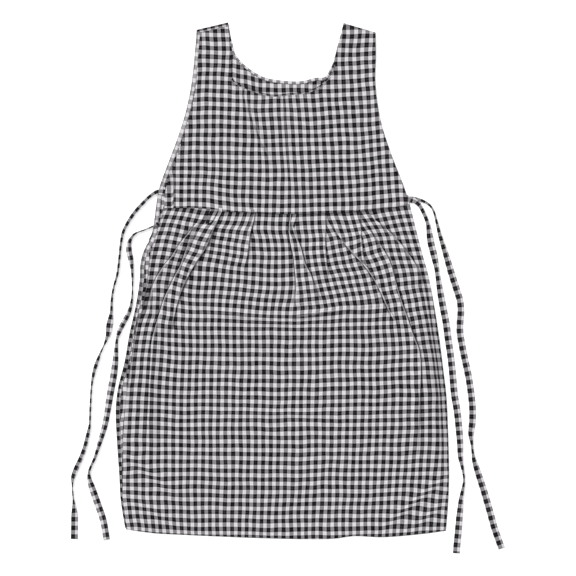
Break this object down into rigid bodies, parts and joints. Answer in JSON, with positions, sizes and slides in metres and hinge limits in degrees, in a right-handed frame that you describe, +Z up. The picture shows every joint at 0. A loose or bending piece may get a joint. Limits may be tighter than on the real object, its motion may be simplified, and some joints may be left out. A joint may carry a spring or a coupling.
{
  "type": "bib apron",
  "caption": "Pinafore bib apron of black and white gingham cotton, laid flat: bodice with round neck, pleated skirt, back panel and flat side ties.",
  "frame": {"origin": "on the surface that the apron lies on, under the middle of the box of its panels without the ties", "axes": "+Z up, away from the surface and out of the front; +Y from the hem towards the shoulders; +X to the right as seen from above"},
  "size_m": [0.7391, 0.9019, 0.0112],
  "materials": {
    "gingham_bodice": "matt woven cotton",
    "gingham_skirt": "matt woven cotton",
    "gingham_back": "matt woven cotton",
    "gingham_ties": "matt woven cotton"
  },
  "bodies": {
    "root": {"front_bodice": "gingham_bodice", "front_skirt": "gingham_skirt", "back_panel": "gingham_back", "tie_front_left": "gingham_ties", "tie_back_left": "gingham_ties", "tie_front_right": "gingham_ties", "tie_back_right": "gingham_ties"}
  },
  "joints": []
}
